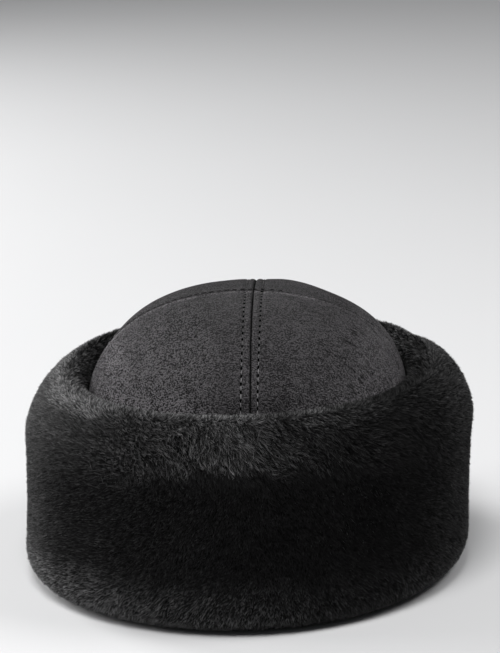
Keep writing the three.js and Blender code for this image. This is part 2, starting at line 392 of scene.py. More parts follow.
# Suede: soft charcoal with a pebbly nap, which painted light and shade make paler or darker in places.
suede = {
    "nap": {"Fibre Scale": 1150, "Patch Scale": 42, "Bump Strength": 1.0, "Bump Distance": 0.0065},
    "dark": (0.0080, 0.0074, 0.0080, 1), "light": (0.152, 0.1445, 0.152, 1), "window": (0.44, 0.56),
    "contrast": (2.3, 0.72), "contrastAcross": (-0.07, -0.01), "roughness": 0.92, "gloss": 0.05,
    "sheen": 0.06, "sheenRoughness": 0.3,
    "brushTurn": (0.3, 0.5, 0.8), "brushStretch": (1, 2.4, 1), "strokeScale": 150, "strokeShare": 0.16,
    "waveScale": 55, "waveStrength": 0.3, "waveDepth": 0.0012,
}
# Short creases on the front of the flank, drawn out along the first of their axes. Their shade is
# painted: the colour darkens along them, besides the dents of the bump.
creases = {
    "axes": ((0.8, 0.1, -0.6), (0.6, 0.0, 0.8), (0.08, -1.0, 0.0)), "stretch": 0.2, "scale": 540,
    "window": (0.55, 0.61), "patchScale": 70, "patchWindow": (0.42, 0.54), "across": (0.035, 0.06),
    "along": (0.012, -0.012), "shade": 0.75, "strength": 0.6, "depth": 0.0008,
}
# Painted light and shade on the suede, with its dark joints: how much paler or darker the nap is in
# each place, and where that fades in: across the crown or along it in millimetres from the seams, or
# up the dome by the sine of its tilt. All but the joints' dark is painted light or shade.
jointsAndPaintedLightTable = {
    "topShade": (0.42, 0.2, 0.08), "topAcross": (-25, 15, 45), "topRise": (0.55, 1.0),
    "backShade": 0.2, "backAlong": (1, 4), "backRise": (0.5, 0.9),
    "footGlow": 0.6, "footRise": (0.1, 0.5), "footAcross": (8, 45), "footMiddle": -0.35,
    "flankGlow": 0.42, "flankAcross": (42, 76),
    "leftGlow": 1.5, "leftAcross": (-80, -62), "leftRise": 0.48, "leftHeight": 0.1,
    "middleShade": 0.1, "middleFrom": (-25, -10), "middleTo": (45, 60), "middleRise": (0.45, 0.8),
    "edgeGlow": 0.14, "edgeAt": 2.0, "edgeWidth": 1.0,
    "ridgeGlow": 0.9, "ridgeAt": -3.2, "ridgeWidth": 1.7, "ridgeRise": (0.3, 0.7), "ridgeLost": 0.8,
    "ridgeTo": (28, 48),
    "jointShade": 0.92, "centreEdge": 1.15, "centreJoint": 0.75, "crossEdge": 1.6, "crossJoint": 0.7,
    "crossAt": 0.4, "crossLost": (0.6, 0.05), "crossFrom": (2, 24), "crossTo": (30, 52),
}


# How pale the suede is, as half of a factor kept on the mesh: black in the joints, and painted
# light and shade elsewhere: painted highlights on the rolled edges and the ridge, painted light at
# the foot and the flanks, and painted shade towards the top, at the back and in the middle.
def jointsAndPaintedLight(angle, tilt):
    across, along = ovalAxes(angle)
    rise = np.sin(tilt)
    x, y = across * np.cos(angle) * np.cos(tilt), along * np.sin(angle) * np.cos(tilt)
    look = jointsAndPaintedLightTable

    def within(value, key):
        return smoothShare(value, *look[key])

    tone = 1 - np.interp(x, look["topAcross"], look["topShade"]) * within(rise, "topRise")
    tone = tone * (1 - look["backShade"] * within(y, "backAlong") * within(rise, "backRise"))
    outwards = look["footMiddle"] + (1 - look["footMiddle"]) * within(np.abs(x), "footAcross")
    foot = (1 - within(rise, "footRise")) * outwards
    left = (1 - within(x, "leftAcross")) * bell(rise, look["leftRise"], look["leftHeight"])
    flank = within(x, "flankAcross") + look["leftGlow"] * left
    tone = tone * (1 + look["footGlow"] * foot) * (1 + look["flankGlow"] * flank)
    middle = within(x, "middleFrom") * (1 - within(x, "middleTo")) * (1 - within(rise, "middleRise"))
    tone = tone * (1 - look["middleShade"] * middle)
    tone = tone * (1 + look["edgeGlow"] * bell(np.abs(x), look["edgeAt"], look["edgeWidth"]))
    ridge = bell(y, look["ridgeAt"], look["ridgeWidth"]) * within(rise, "ridgeRise")
    tone = tone * (1 + look["ridgeGlow"] * ridge * (1 - look["ridgeLost"] * within(x, "ridgeTo")))
    nearer, farther = look["crossLost"]
    fade = 1 - nearer * within(x, "crossFrom") - farther * within(x, "crossTo")
    centre = np.clip(look["centreEdge"] - np.abs(x) / look["centreJoint"], 0, 1)
    cross = np.clip((look["crossEdge"] - np.abs(y - look["crossAt"])) / look["crossJoint"], 0, 1) * fade
    return tone * (1 - look["jointShade"] * np.maximum(centre, cross)) / 2


# One panel: a quarter of the crown, counted round from the wearer's back left.
def crownPanel(name, start, outside, inside):
    columns, wallRows, domeRows = crown["columns"], crown["wallRows"], crown["domeRows"]
    rows = wallRows + domeRows
    upTheWall = (np.arange(wallRows) / wallRows) ** crown["wallCrowding"]
    wall = crown["lowerEdge"] + (crown["wallTop"] - crown["lowerEdge"]) * upTheWall
    base = np.concatenate([wall, np.full(domeRows + 1, crown["wallTop"])])
    tilt = np.concatenate([np.zeros(wallRows), np.linspace(0, pi / 2, domeRows + 1)])
    across, along = ovalAxes(np.array((start + 0.5) * pi / 2))
    reach = (across, along) if start % 2 else (along, across)
    angles = start * pi / 2 + np.stack([columnAngles(max(cos(row), 1e-4), reach) for row in tilt])
    side = (-1 if start in (1, 2) else 1, -1 if start > 1 else 1)
    places = crownPoints(angles, base[:, None], tilt[:, None], side=side)
    # painted light and shade, with the dark joints, kept on the mesh
    tone = jointsAndPaintedLight(angles, tilt[:, None])
    shape = bmesh.new()
    bmesh.ops.create_grid(shape, x_segments=columns, y_segments=rows, size=0.5)
    jointsAndLightLayer = shape.verts.layers.float.new("jointsAndPaintedLight")
    for vert in shape.verts:
        column, row = round((vert.co.x + 0.5) * columns), round((vert.co.y + 0.5) * rows)
        vert.co = places[row, column]
        vert[jointsAndLightLayer] = tone[row, column]
    bmesh.ops.remove_doubles(shape, verts=shape.verts, dist=crown["mergeWithin"] * mm)
    panel = meshObject(name, shape)
    smoothFaces(panel)
    hide = panel.modifiers.new("hideThickness", "SOLIDIFY")
    hide.thickness = crown["thickness"] * mm
    hide.offset = -1
    hide.material_offset = 1
    panel.data.materials.append(outside)
    panel.data.materials.append(inside)
    return panel


# Where the creases are: lines from a stretched noise, in patches, on the front of the flank.
def creaseMask(tree, place):
    apart = addNode(tree, "ShaderNodeSeparateXYZ", Vector=place)
    parts = []
    for axis, stretch in zip(creases["axes"], (creases["stretch"], 1, 1)):
        measure = addNode(tree, "ShaderNodeVectorMath", {"operation": "DOT_PRODUCT"})
        tree.links.new(place, measure.inputs[0])
        measure.inputs[1].default_value = Vector(axis).normalized() * stretch
        parts.append(measure.outputs["Value"])
    drawn = addNode(tree, "ShaderNodeCombineXYZ", X=parts[0], Y=parts[1], Z=parts[2]).outputs[0]
    lines = noiseNode(tree, drawn, creases["scale"], 2, 0.5, 0.4)
    folds = mapRange(tree, lines, 0, 1, *creases["window"])
    patches = mapRange(tree, noiseNode(tree, place, creases["patchScale"]), 0, 1, *creases["patchWindow"])
    flank = mapRange(tree, apart.outputs["X"], 0, 1, *creases["across"])
    front = mapRange(tree, apart.outputs["Y"], 0, 1, *creases["along"])
    within = mathNode(tree, "MULTIPLY", flank, front)
    return mathNode(tree, "MULTIPLY", mathNode(tree, "MULTIPLY", folds, patches), within)


def suedeFinish(nap):
    finish, tree, shader = newFinish("charcoalSuede")
    tone, normal = napNodes(tree, nap, suede["nap"])
    place = objectPlace(tree)
    brushed = addNode(
        tree, "ShaderNodeMapping", Vector=place, Rotation=suede["brushTurn"], Scale=suede["brushStretch"],
    ).outputs[0]
    strokes = noiseNode(tree, brushed, suede["strokeScale"], 3, 0.6, 0.5)
    share = weighted(tree, tone, strokes, suede["strokeShare"])
    share = mathNode(tree, "SUBTRACT", mapRange(tree, share, 0, 1, *suede["window"]), 0.5)
    # the pebbles show most on the side that the low light rakes: a painted contrast in the tone
    across = addNode(tree, "ShaderNodeSeparateXYZ", Vector=place).outputs["X"]
    contrast = mapRange(tree, across, *suede["contrast"], *suede["contrastAcross"])
    share = mathNode(tree, "MULTIPLY_ADD", share, contrast, 0.5)
    tones = mixTones(tree, share, suede["dark"], suede["light"])
    # the factor kept on the mesh: the dark joints, and painted light and shade
    kept = addNode(tree, "ShaderNodeAttribute", {"attribute_name": "jointsAndPaintedLight"}).outputs["Fac"]
    mask = creaseMask(tree, place)
    jointsAndPaintedLightFactor = mathNode(tree, "MULTIPLY", kept, 2.0)
    # painted shade along the creases darkens the tone
    factor = mathNode(tree, "MULTIPLY", jointsAndPaintedLightFactor, mapRange(tree, mask, 1, 1 - creases["shade"]))
    tree.links.new(mixTones(tree, 1.0, tones, factor, "MULTIPLY"), shader.inputs["Base Color"])
    waves = addNode(
        tree, "ShaderNodeBump", Strength=suede["waveStrength"], Distance=suede["waveDepth"],
        Height=noiseNode(tree, brushed, suede["waveScale"], 2, 0.5, 1.6), Normal=normal,
    )
    dents = addNode(
        tree, "ShaderNodeBump", {"invert": True}, Strength=creases["strength"],
        Distance=creases["depth"], Height=mask, Normal=waves.outputs[0],
    )
    tree.links.new(dents.outputs["Normal"], shader.inputs["Normal"])
    tree.links.new(mapRange(tree, tone, suede["roughness"], 1.0), shader.inputs["Roughness"])
    setGloss(shader, suede)
    return finish


# Clipped wool on the inner side of the panels: curly and dark.
wool = {
    "nap": {"Fibre Scale": 420, "Patch Scale": 90, "Bump Strength": 0.9, "Bump Distance": 0.0016},
    "window": (0.36, 0.64), "dark": (0.006, 0.006, 0.006, 1), "light": (0.022, 0.021, 0.021, 1),
    "roughness": 0.9, "gloss": 0.5,
}

nap = brushedNap()
outside, inside = suedeFinish(nap), mottledFinish("clippedWool", nap, wool)
quarters = (
    ("panelBackLeft", "crown_panel_back_left"), ("panelBackRight", "crown_panel_back_right"),
    ("panelFrontRight", "crown_panel_front_right"), ("panelFrontLeft", "crown_panel_front_left"),
)
for start, (name, node) in enumerate(quarters):
    panel = crownPanel(name, start, outside, inside)
    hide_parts(node)
    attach(panel, "root")
print("stage: crown panels")


# Copies of one small shape, set at places with their own axes and sizes, as one mesh.
def joinedCopies(name, shape, places, axes, finish):
    shape.verts.ensure_lookup_table()
    points = np.array([vert.co for vert in shape.verts])
    faces = [[vert.index for vert in face.verts] for face in shape.faces]
    shape.free()
    spread = np.einsum("vk,ckj->cvj", points, axes) + places[:, None]
    steps = np.arange(len(places)) * len(points)
    copies = [[corner + step for corner in face] for step in steps for face in faces]
    data = bpy.data.meshes.new(name)
    data.from_pydata(spread.reshape(-1, 3).tolist(), [], copies)
    item = addItem(name, data)
    data.materials.append(finish)
    smoothFaces(item)
    return item


# The middle, the following hole, the direction and the normal of each stitch along one row.
def stitchPlaces(x, y, lift):
    line = crownPointsAt(x, y, lift)
    steps = np.linalg.norm(np.diff(line, axis=0), axis=1)
    along = np.concatenate([[0], np.cumsum(steps)])
    marks = np.arange(stitchRows["pitch"] * mm / 2, along[-1], stitchRows["pitch"] * mm)

    def at(spots):
        return np.stack([np.interp(spots, along, line[:, k]) for k in range(3)], axis=-1)

    half = stitchRows["length"] * mm / 2
    middle, before, after = at(marks), at(marks - half), at(marks + half)
    tangent = (after - before) / np.linalg.norm(after - before, axis=1, keepdims=True)
    holes = at(marks + stitchRows["pitch"] * mm / 2)
    higher = crownPointsAt(x, y, lift + 1)
    normal = np.stack([np.interp(marks, along, (higher - line)[:, k]) for k in range(3)], axis=-1)
    normal -= tangent * (normal * tangent).sum(axis=1, keepdims=True)
    normal /= np.linalg.norm(normal, axis=1, keepdims=True)
    return middle, holes, tangent, normal


# The rows as distances from the two seams: two beside the centre seam and one behind the cross seam.
def stitchLines():
    reach = stitchRows["reach"]
    y = np.linspace(reach * stitchRows["front"], reach * stitchRows["back"], stitchRows["steps"])
    away = y / (crown["halfLength"] - np.where(y > 0, 1, -1) * crown["seamY"])
    height = crown["wallTop"] + crown["domeHeight"] * np.sqrt(1 - away**2)
    x = np.linspace(reach * stitchRows["crossFrom"], stitchRows["crossTo"], stitchRows["crossSteps"])
    return (
        (stitchDistance("left", height), y), (-stitchDistance("right", height), y),
        (x, np.full_like(x, stitchRows["cross"])),
    )


# Thread shows beside the centre seam. Behind the cross seam there are only the holes, which are wider.
def crownStitches(threadMaterial, holeMaterial):
    rows = [stitchPlaces(x, y, stitchRows["rise"]) for x, y in stitchLines()]
    threads = len(rows[0][0]) + len(rows[1][0])
    middle, holes, tangent, normal = (np.concatenate(parts) for parts in zip(*rows))
    sideways = np.cross(normal, tangent)
    dice = np.random.default_rng(stitchRows["seed"])
    size = dice.uniform(*stitchRows["unevenness"], len(middle))[:, None]
    bead = bmesh.new()
    bmesh.ops.create_uvsphere(bead, u_segments=6, v_segments=4, radius=1)
    width, half = stitchRows["width"] * mm, stitchRows["length"] * mm / 2
    axes = np.stack([sideways * width * size, normal * width * size, tangent * half * size], axis=1)
    stitches = joinedCopies("crownStitches", bead, middle[:threads], axes[:threads], threadMaterial)
    pit = bmesh.new()
    bmesh.ops.create_uvsphere(pit, u_segments=8, v_segments=4, radius=1)
    wider = np.where(np.arange(len(holes)) < threads, 1, stitchRows["crossHole"])[:, None]
    radius = wider * stitchRows["holeRadius"] * mm
    depth, length = stitchRows["holeDepth"] * mm, radius * stitchRows["holeLength"]
    axes = np.stack([sideways * radius * size, normal * depth * size, tangent * length * size], axis=1)
    sunk = holes - normal * stitchRows["holeSink"] * mm
    pits = joinedCopies("needleHoles", pit, sunk, axes, holeMaterial)
    for piece in (stitches, pits):
        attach(piece, "root")


# Thread: twisted, and darker higher up.
thread = {
    "twistScale": 900, "distortion": 1.5, "dark": (0.12, 0.116, 0.12, 1), "light": (0.24, 0.234, 0.24, 1),
    "shade": (0.14, 1.0), "shadeHeights": (0.155, 0.13), "roughness": 0.6,
}


def threadFinish():
    finish, tree, shader = newFinish("charcoalThread")
    place = objectPlace(tree)
    twist = addNode(
        tree, "ShaderNodeTexWave", Vector=place, Scale=thread["twistScale"], Distortion=thread["distortion"],
    ).outputs["Fac"]
    height = addNode(tree, "ShaderNodeSeparateXYZ", Vector=place).outputs["Z"]
    shade = mapRange(tree, height, *thread["shade"], *thread["shadeHeights"])
    tone = mixTones(tree, twist, thread["dark"], thread["light"])
    tree.links.new(mixTones(tree, 1.0, tone, shade, "MULTIPLY"), shader.inputs["Base Color"])
    shader.inputs["Roughness"].default_value = thread["roughness"]
    return finish


# Needle holes: nearly black, painted shade for the dark inside each hole.
needleHole = {"grain": 1500, "dark": (0.0015, 0.0015, 0.0015, 1), "light": (0.005, 0.005, 0.005, 1)}


def holeFinish():
    finish, tree, shader = newFinish("needleHoleShade")
    grain = noiseNode(tree, objectPlace(tree), needleHole["grain"])
    tone = mixTones(tree, grain, needleHole["dark"], needleHole["light"])
    tree.links.new(tone, shader.inputs["Base Color"])
    shader.inputs["Roughness"].default_value = 1.0
    shader.inputs["Specular IOR Level"].default_value = 0.0
    return finish


crownStitches(threadFinish(), holeFinish())
print("stage: stitches")

# Cuff: the same ring as its solid. Offsets are outwards from the crown's wall, in millimetres.
cuff = {
    "thickness": 37.5, "height": 117.5, "gap": 0.35, "bottomRound": 16.5, "shoulderInset": 25.5,
    "shoulderHeight": 32.5, "shoulderPower": 1.66, "waist": 0.8, "lip": 2.5, "flatFrom": 8.0,
    "rounds": 360, "rows": 220, "hideRounds": 200, "hideRows": 90, "furDepth": 4.2, "thinEnds": 0.07,
    "roundSteps": 24, "faceSteps": 40, "shoulderSteps": 48, "mergeWithin": 0.01,
}
# Soft rises and bulges of the rim, by azimuth from +X over +Y.
rimFolds = (
    {"azimuth": 5, "spread": 26, "rise": 3, "bulge": 0.8},
    {"azimuth": 28, "spread": 6, "rise": -2, "bulge": -1},
    {"azimuth": 150, "spread": 34, "rise": 2.6, "bulge": 0.2},
    {"azimuth": 185, "spread": 22, "rise": -0.8, "bulge": -1.2},
    {"azimuth": 290, "spread": 26, "rise": 0.6, "bulge": 0},
)


def rimShape(azimuth):
    rise = bulge = 0
    for fold in rimFolds:
        away = (azimuth - fold["azimuth"] + 180) % 360 - 180
        share = bell(away, 0, fold["spread"])
        rise, bulge = rise + fold["rise"] * share, bulge + fold["bulge"] * share
    return rise, bulge


def quarterRound(steps, power=2):
    angle = np.linspace(0, pi / 2, steps + 1)
    reach = (np.cos(angle) ** power + np.sin(angle) ** power) ** (-1 / power)
    return np.cos(angle) * reach, np.sin(angle) * reach


# One section of the fur's outer form, from the foot up the face, over the crest, down to the crown.
def furSection(azimuth, rows):
    rise, bulge = rimShape(azimuth)
    top = cuff["height"] + rise
    shoulder = top - cuff["shoulderHeight"]
    crest = cuff["thickness"] - cuff["shoulderInset"]
    roll = crest - cuff["gap"]
    out, up = quarterRound(cuff["roundSteps"])
    inwards, above = cuff["bottomRound"] * (1 - up), cuff["bottomRound"] * (1 - out)
    footCurve = np.stack([cuff["thickness"] - inwards, above], 1)
    share = np.linspace(0, 1, cuff["faceSteps"])[1:-1]
    outwards = cuff["thickness"] - cuff["waist"] * np.sin(pi * share) + bulge * share
    face = np.stack([outwards, cuff["bottomRound"] + (shoulder - cuff["bottomRound"]) * share], 1)
    out, up = quarterRound(cuff["shoulderSteps"], cuff["shoulderPower"])
    outwards = crest + (cuff["shoulderInset"] + bulge) * out
    shoulderCurve = np.stack([outwards, shoulder + cuff["shoulderHeight"] * up], 1)
    out, up = quarterRound(cuff["roundSteps"])
    crestCurve = np.stack([crest - roll * out, top - roll * (1 - up)], 1)[::-1][1:]
    line = np.concatenate([footCurve, face, shoulderCurve, crestCurve])
    length = np.concatenate([[0], np.cumsum(np.linalg.norm(np.diff(line, axis=0), axis=1))])
    even = np.linspace(0, length[-1], rows)
    return np.stack([np.interp(even, length, line[:, k]) for k in (0, 1)], 1)


# A table of the outer form over the whole ring, with its normals in the section.
def furTable(rounds, rows):
    azimuths = np.arange(rounds + 1) * 360 / rounds
    sections = np.stack([furSection(azimuth % 360, rows) for azimuth in azimuths])
    along = np.gradient(sections, axis=1)
    away = np.stack([along[..., 1], -along[..., 0]], axis=-1)
    return azimuths, sections, away / np.linalg.norm(away, axis=-1, keepdims=True)


def ringPoints(azimuth, offset, height):
    angle = np.radians(azimuth)
    across, along = ovalAxes(angle, offset)
    return toFrame(across * np.cos(angle), along * np.sin(angle), height)


# The hide under the fur: one closed ring, a fur's depth inside the outer form.
def cuffHide(finish):
    rounds, rows = cuff["hideRounds"], cuff["hideRows"]
    azimuths, sections, away = furTable(rounds, rows)
    share = np.linspace(0, 1, rows)
    fromEnd = smoothShare(share, 0, cuff["thinEnds"]) * (1 - smoothShare(share, 1 - cuff["thinEnds"], 1))
    depth = cuff["furDepth"] * fromEnd
    inner = sections - away * depth[None, :, None]
    lip = crown["lowerEdge"] - cuff["gap"]
    foot = np.array([[cuff["gap"], lip], [-crown["thickness"], lip], [-crown["thickness"], cuff["lip"]],
                     [cuff["lip"] - crown["thickness"], 0.0], [cuff["flatFrom"], 0.0]])
    section = np.concatenate([np.broadcast_to(foot, (rounds + 1, *foot.shape)), inner], axis=1)
    section = np.concatenate([section, section[:, :1]], axis=1)
    places = ringPoints(azimuths[:, None] % 360, section[..., 0], section[..., 1])
    shape = bmesh.new()
    last = section.shape[1] - 1
    bmesh.ops.create_grid(shape, x_segments=rounds, y_segments=last, size=0.5)
    for vert in shape.verts:
        column, row = round((vert.co.x + 0.5) * rounds), round((vert.co.y + 0.5) * last)
        vert.co = places[column, row]
    bmesh.ops.remove_doubles(shape, verts=shape.verts, dist=cuff["mergeWithin"] * mm)
    bmesh.ops.recalc_face_normals(shape, faces=shape.faces)
    hide = meshObject("cuffHide", shape)
    smoothFaces(hide)
    hide.data.materials.append(finish)
    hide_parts("fur_cuff")
    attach(hide, "root")


# Hide: black and dull, and hardly seen between the hairs.
hideLook = {
    "nap": {"Fibre Scale": 700, "Patch Scale": 80, "Bump Strength": 0.8, "Bump Distance": 0.0012},
    "window": (0.36, 0.64), "dark": (0.0015, 0.0015, 0.0015, 1), "light": (0.006, 0.006, 0.006, 1),
    "roughness": 1.0, "gloss": 0.1,
}
cuffHide(mottledFinish("blackHide", nap, hideLook))
print("stage: hide under the fur")

# Fur: flat pointed hairs by the hundred thousand, which lie along a flow and gather in small wisps.
# Sizes are in millimetres and turns in degrees.
fur = {
    "seed": 7, "hairs": 700000, "depth": (1.7, 3.0), "endDepth": 0.45, "endRate": 9, "width": (0.44, 0.7),
    "tipJitter": (-1.5, 0.5), "flowJitter": 6, "leanJitter": 6, "twistJitter": 12, "leanLimits": (8, 70),
    "floorGap": 0.25, "facing": 0.9, "ruffle": 0.15, "tipTurn": 0.35,
    "darkest": 0.08, "spread": 3.8, "rarity": 2.6, "toneJitter": (0.85, 1.15), "fullTone": 8,
    "ringLength": 800, "sectionLength": 157, "waveHeight": 130, "cellJitter": 0.45,
}
# The pieces of the fur, each a sector of the ring, in the order of their azimuths.
furSectors = ("furLeft", "furBackLeft", "furBackRight", "furRight", "furFrontRight", "furFrontLeft")
# Hairs gather in strands, and strands in wisps: size in millimetres, turn and twist in degrees.
gathers = (
    {"size": 3.0, "pull": 0.08, "turn": 8, "twist": 0, "lift": 0.2, "shade": 0.2},
    {"size": 0.54, "pull": 0.25, "turn": 12, "twist": 34, "lift": 0.2, "shade": 0},
)
# How the fur lies, by place: azimuth and height, the direction its tips point in (0 is round the
# hat towards +azimuth, 90 is up), its lean from upright, and how far each entry reaches.
furFlow = (
    {"azimuth": 270, "height": 100, "points": -58, "lean": 66, "wide": 20, "tall": 14},
    {"azimuth": 247, "height": 100, "points": -46, "lean": 66, "wide": 14, "tall": 14},
    {"azimuth": 226, "height": 98, "points": 180, "lean": 54, "wide": 14, "tall": 18},
    {"azimuth": 200, "height": 92, "points": -175, "lean": 48, "wide": 18, "tall": 20},
    {"azimuth": 305, "height": 98, "points": -50, "lean": 60, "wide": 20, "tall": 14},
    {"azimuth": 335, "height": 105, "points": -36, "lean": 54, "wide": 20, "tall": 16},
    {"azimuth": 285, "height": 62, "points": -72, "lean": 34, "wide": 26, "tall": 22},
    {"azimuth": 256, "height": 60, "points": -110, "lean": 34, "wide": 14, "tall": 22},
    {"azimuth": 228, "height": 50, "points": -165, "lean": 38, "wide": 20, "tall": 26},
    {"azimuth": 325, "height": 50, "points": -32, "lean": 38, "wide": 18, "tall": 26},
    {"azimuth": 256, "height": 14, "points": -135, "lean": 42, "wide": 26, "tall": 14},
    {"azimuth": 302, "height": 14, "points": -60, "lean": 42, "wide": 26, "tall": 14},
    {"azimuth": 200, "height": 30, "points": -165, "lean": 42, "wide": 26, "tall": 28},
    {"azimuth": 0, "height": 60, "points": -50, "lean": 46, "wide": 34, "tall": 50},
    {"azimuth": 90, "height": 60, "points": -60, "lean": 46, "wide": 60, "tall": 60},
    {"azimuth": 160, "height": 60, "points": -125, "lean": 46, "wide": 34, "tall": 60},
)
# How the flow strays from its table: waves with a count, a tightness and a size in degrees. Over the
# crest, by the share of the section, the hairs turn to stand up.
furStray = {
    "direction": (
        {"waves": 9, "tightness": 14, "degrees": 9}, {"waves": 12, "tightness": 60, "degrees": 8},
    ),
    "lean": ({"waves": 7, "tightness": 16, "degrees": 4},),
    "nearness": 1.5, "crest": (0.83, 0.90), "crestLean": 36, "leanLimits": (12, 70),
}
# Painted light and shade on the fur: how pale it is by azimuth, on the face, on the roll, at the
# crest, at the foot and inside the rim. The face is darkest, painted shade, and in front its strands
# differ least from one another; the roll, crest and foot are paler, painted light, and inside the rim
# beside the crown at the back left is painted shadow.
furPaintedLightTable = {
    "footEdge": (5, 38), "crestWidth": 0.07, "rollTop": 94.5, "innerFrom": (0.89, 0.96),
    "waves": 12, "tightness": 45, "unevenness": 1.5, "crestUnevenness": 0.004,
    "azimuth": (0, 35, 60, 150, 185, 202, 220, 233, 243, 256, 270, 280, 290, 303, 318, 335),
    "face": (0.6, 0.6, 0.6, 0.6, 0.62, 0.52, 0.4, 0.52, 0.58, 0.58, 0.48, 0.42, 0.38, 0.3, 0.26, 0.58),
    "faceContrast": (1, 1, 1, 1, 1.2, 1.2, 1, 0.75, 0.6, 0.5, 0.4, 0.35, 0.3, 0.35, 0.6, 1),
    "roll": (0.85, 0.9, 0.9, 1.0, 0.75, 0.52, 0.42, 0.85, 1.3, 1.75, 1.8, 0.95, 0.54, 0.38, 0.3, 0.5),
    "rollFoot": (70, 70, 70, 70, 60, 56, 60, 68, 82, 90.5, 89, 88, 85, 80, 76, 72),
    "crest": (1.0, 2.2, 1.6, 1.3, 2.8, 3.8, 3.5, 1.9, 1.8, 2.4, 2.6, 1.2, 1.6, 0.9, 0.38, 0.55),
    "crestFoot": (0.77, 0.77, 0.77, 0.77, 0.77, 0.755, 0.775, 0.825, 0.785, 0.765, 0.78, 0.78, 0.76, 0.76,
                  0.77, 0.77),
    "foot": (0.9, 1.0, 1.0, 1.1, 1.8, 2.6, 3.4, 3.3, 2.6, 2.0, 1.9, 1.4, 0.8, 0.6, 0.95, 1.0),
    "inner": (1, 1, 1, 0.5, 0.45, 0.7, 1, 1, 1, 1, 1, 1, 1, 1, 1, 1),
}


# Smooth random values over the ring, the same on both sides of azimuth 0.
def softField(dice, azimuth, length, waves, tightness):
    total = np.zeros_like(length)
    for _ in range(waves):
        turns = dice.integers(-tightness, tightness + 1)
        rate = dice.uniform(-tightness, tightness) / fur["waveHeight"]
        total += np.sin(np.radians(azimuth) * turns + length * rate + dice.uniform(0, 2 * pi))
    return total / np.sqrt(waves / 2)


def strayDegrees(dice, azimuth, height, kind):
    fields = (
        softField(dice, azimuth, height, entry["waves"], entry["tightness"]) * entry["degrees"]
        for entry in furStray[kind]
    )
    return sum(fields)


# Each strand follows one entry of the table, the likelier the nearer it is.
def flowAt(dice, azimuth, height, share, choice):
    points, lean = (np.array([entry[key] for entry in furFlow]) for key in ("points", "lean"))
    weights = np.full((len(height), len(furFlow)), 1e-9)
    for index, entry in enumerate(furFlow):
        away = (azimuth - entry["azimuth"] + 180) % 360 - 180
        far = (away / entry["wide"]) ** 2 + ((height - entry["height"]) / entry["tall"]) ** 2
        weights[:, index] += np.exp(-furStray["nearness"] * far)
    reached = np.cumsum(weights, axis=1)
    pick = (reached < (choice * reached[:, -1])[:, None]).sum(axis=1)
    direction = points[pick] + strayDegrees(dice, azimuth, height, "direction")
    lean = lean[pick] + strayDegrees(dice, azimuth, height, "lean")
    # over the crest the hairs stand up and then point at the crown, turning the shorter way
    crest = smoothShare(share, *furStray["crest"])
    direction = direction * (1 - crest) + np.where(direction < -90, -270, 90) * crest
    lean = lean * (1 - crest) + furStray["crestLean"] * crest
    return np.radians(direction), np.radians(np.clip(lean, *furStray["leanLimits"]))


# The fur's painted light and shade by place, and how much its strands differ there.
def paintFurLight(dice, azimuth, height, share, jitter):
    field = softField(dice, azimuth, height, furPaintedLightTable["waves"], furPaintedLightTable["tightness"])
    edge = (field + jitter) * furPaintedLightTable["unevenness"]
    ragged = edge * furPaintedLightTable["crestUnevenness"]

    def at(name):
        return np.interp(azimuth, furPaintedLightTable["azimuth"], furPaintedLightTable[name], period=360)

    tone, contrast, crestFoot = at("face"), at("faceContrast"), at("crestFoot")
    bands = (
        ("foot", 1 - smoothShare(height + edge, *furPaintedLightTable["footEdge"])),
        ("roll", smoothShare(height + edge, at("rollFoot"), furPaintedLightTable["rollTop"])),
        ("crest", smoothShare(share + ragged, crestFoot, crestFoot + furPaintedLightTable["crestWidth"])),
    )
    for name, weight in bands:
        tone = tone + (at(name) - tone) * weight
        contrast = contrast + (1 - contrast) * weight
    inner = 1 + (at("inner") - 1) * smoothShare(share, *furPaintedLightTable["innerFrom"])
    return tone * inner, contrast


# The outer form as a fine table of places and normals, in metres.
def outerForm():
    azimuths, sections, _ = furTable(cuff["rounds"], cuff["rows"])
    places = ringPoints(azimuths[:, None] % 360, sections[..., 0], sections[..., 1])
    around = np.gradient(places, axis=0)
    around[0] = around[-1] = (places[1] - places[-2]) / 2
    normal = np.cross(around, np.gradient(places, axis=1))
    return places, normal / np.linalg.norm(normal, axis=-1, keepdims=True)


# Values of a table between its columns and rows.
def lookUp(table, column, row):
    c, r = column.astype(int), row.astype(int)
    c, r = np.minimum(c, table.shape[0] - 2), np.minimum(r, table.shape[1] - 2)
    s, t = (column - c)[:, None], (row - r)[:, None]
    low = table[c, r] * (1 - s) + table[c + 1, r] * s
    high = table[c, r + 1] * (1 - s) + table[c + 1, r + 1] * s
    return low * (1 - t) + high * t


def unit(vectors):
    return vectors / np.maximum(np.linalg.norm(vectors, axis=-1, keepdims=True), 1e-9)


# The nearest cell of a jittered lattice over the ring, and the way to its middle in millimetres.
def nearestCell(dice, azimuth, share, size):
    columns, rows = int(fur["ringLength"] / size), int(fur["sectionLength"] / size)
    u, v = azimuth / 360 * columns, share * rows
    shift = dice.uniform(-fur["cellJitter"], fur["cellJitter"], (columns, rows, 2))
    best, cell, toMiddle = np.full(len(u), np.inf), np.zeros(len(u), int), np.zeros((len(u), 2))
    for stepU in (-1, 0, 1):
        for stepV in (-1, 0, 1):
            cu = np.floor(u).astype(int) + stepU
            cv = np.clip(np.floor(v).astype(int) + stepV, 0, rows - 1)
            gap = np.stack([cu + 0.5, cv + 0.5], 1) + shift[cu % columns, cv] - np.stack([u, v], 1)
            far = (gap**2).sum(axis=1)
            closer = far < best
            best = np.where(closer, far, best)
            cell = np.where(closer, cu % columns * rows + cv, cell)
            toMiddle[closer] = gap[closer] * size
    return cell, toMiddle


